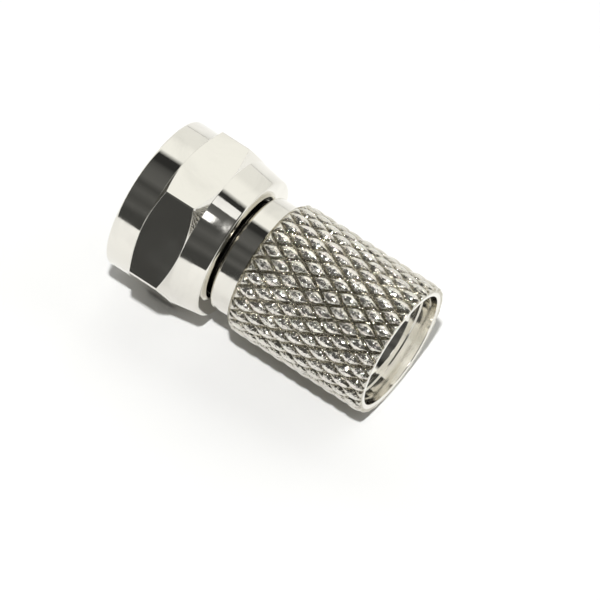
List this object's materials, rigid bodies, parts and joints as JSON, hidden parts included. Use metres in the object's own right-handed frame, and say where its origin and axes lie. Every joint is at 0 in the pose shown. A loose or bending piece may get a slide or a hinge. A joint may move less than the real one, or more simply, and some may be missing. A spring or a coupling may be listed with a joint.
{
  "type": "f connector",
  "caption": "Twist-on F connector for coaxial cable: a hex coupling nut that turns freely on a flanged ferrule pressed into a diamond-knurled body.",
  "frame": {"origin": "on the connector's axis at the open end of the coupling nut", "axes": "+X along the axis from the nut's open end towards the cable end; +Z square to the flat of the hex that faces up; the connector lies on the opposite flat"},
  "size_m": [0.0197, 0.0128, 0.011],
  "materials": {
    "nut_plating": "polished nickel plate on brass",
    "ferrule_plating": "satin nickel plate on brass",
    "body_plating": "polished nickel plate on brass"
  },
  "bodies": {
    "root": {"ferrule": "ferrule_plating", "body": "body_plating"},
    "nut": {"coupling_nut": "nut_plating"}
  },
  "joints": [
    {"name": "nut_spin", "type": "hinge", "parent": "root", "child": "nut", "pos_m": [0.00645, 0, 0], "axis": [1, 0, 0], "continuous": true}
  ]
}
